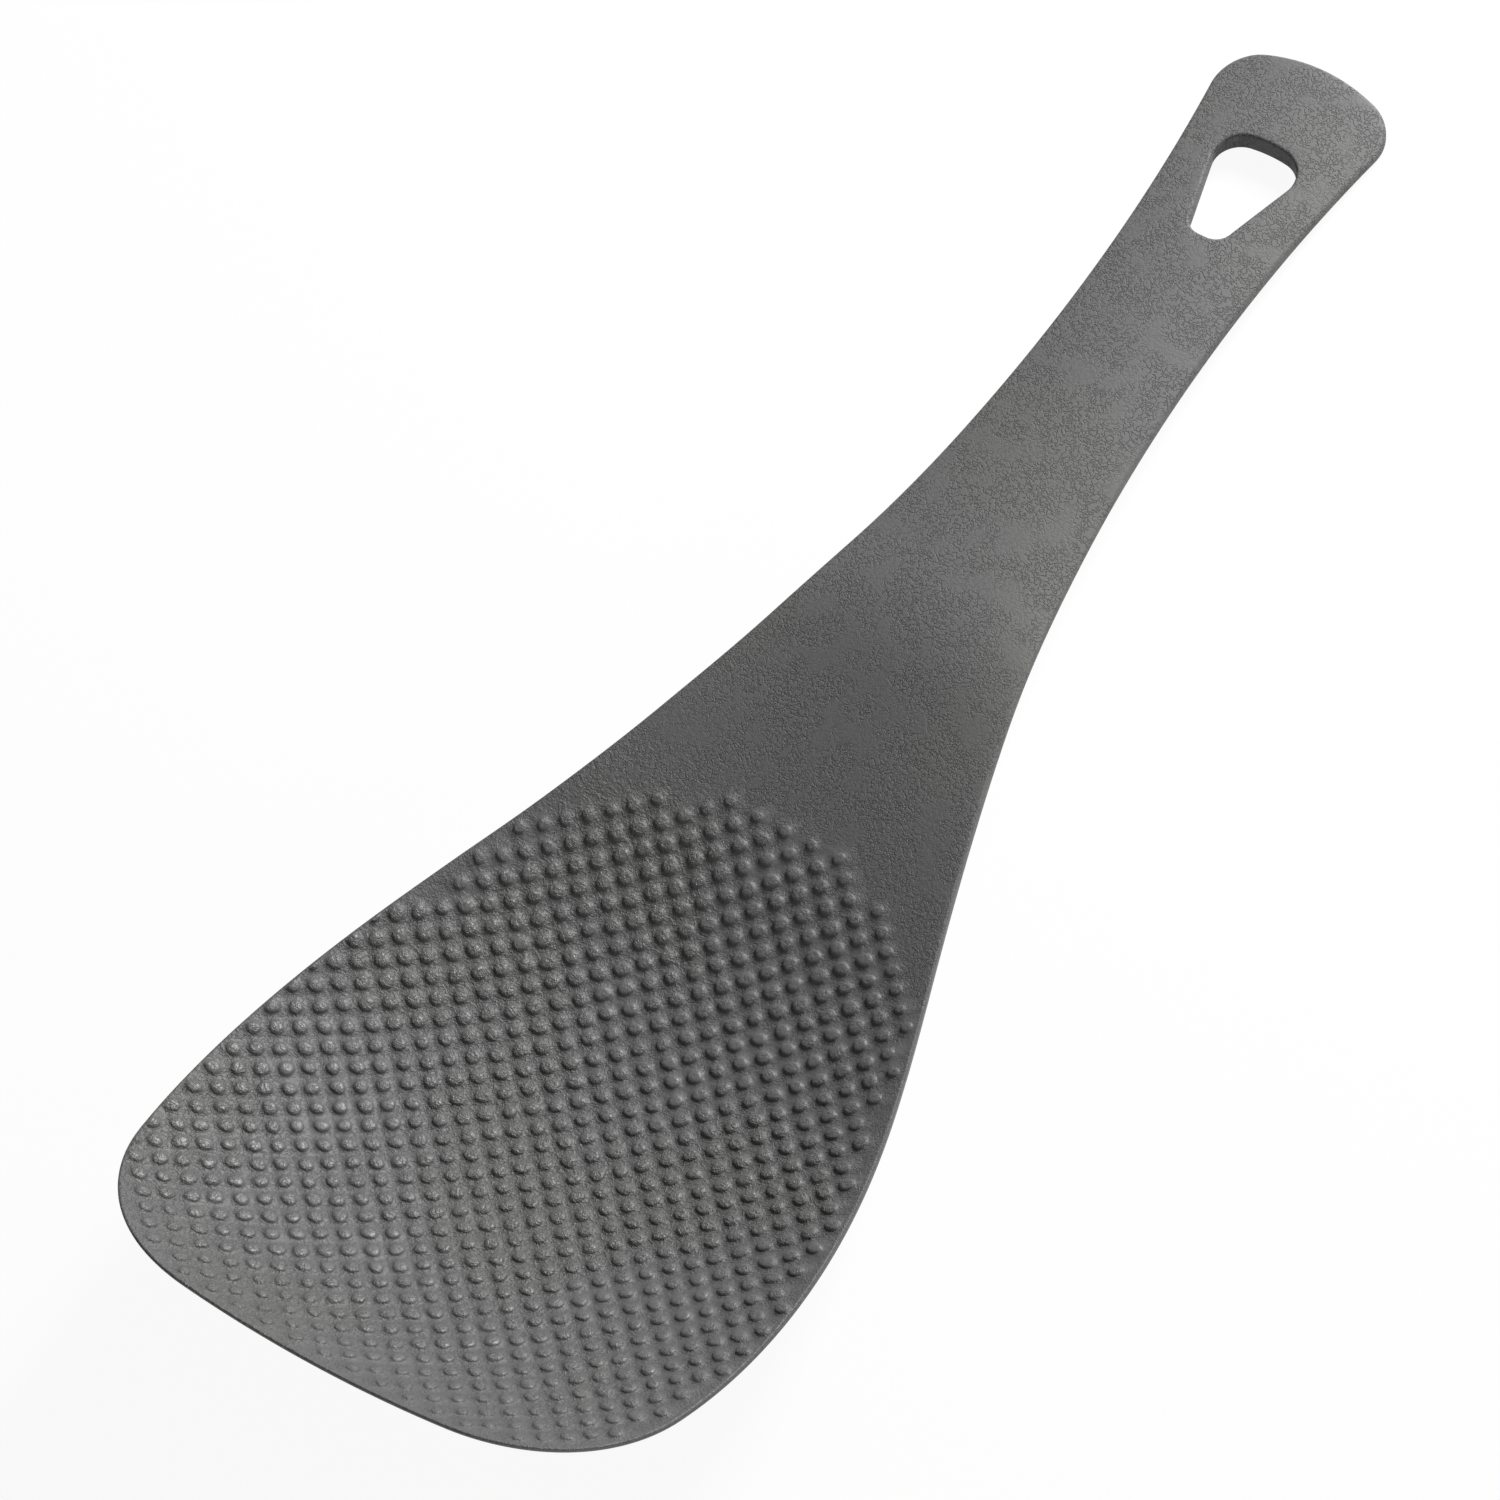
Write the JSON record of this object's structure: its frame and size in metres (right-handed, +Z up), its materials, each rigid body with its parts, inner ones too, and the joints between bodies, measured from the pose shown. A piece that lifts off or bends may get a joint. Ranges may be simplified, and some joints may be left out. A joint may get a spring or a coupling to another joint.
{
  "type": "rice paddle",
  "caption": "Rice paddle in one plastic moulding: a dished blade with a bumpy top face, a slim neck and a gently crowned, flared handle with a rounded triangular hang hole.",
  "frame": {"origin": "middle of the footprint, on the table that the paddle lies on with its hollow side up", "axes": "+X from the blade's tip to the handle's end, +Y to the left of the blade's middle line, +Z up, out of the hollow"},
  "size_m": [0.196, 0.0702, 0.0274],
  "materials": {
    "paddle_plastic": "matte moulded plastic, satin on the blade and with a fine leathery grain on neck and handle"
  },
  "bodies": {
    "root": {"paddle": "paddle_plastic"}
  },
  "joints": []
}
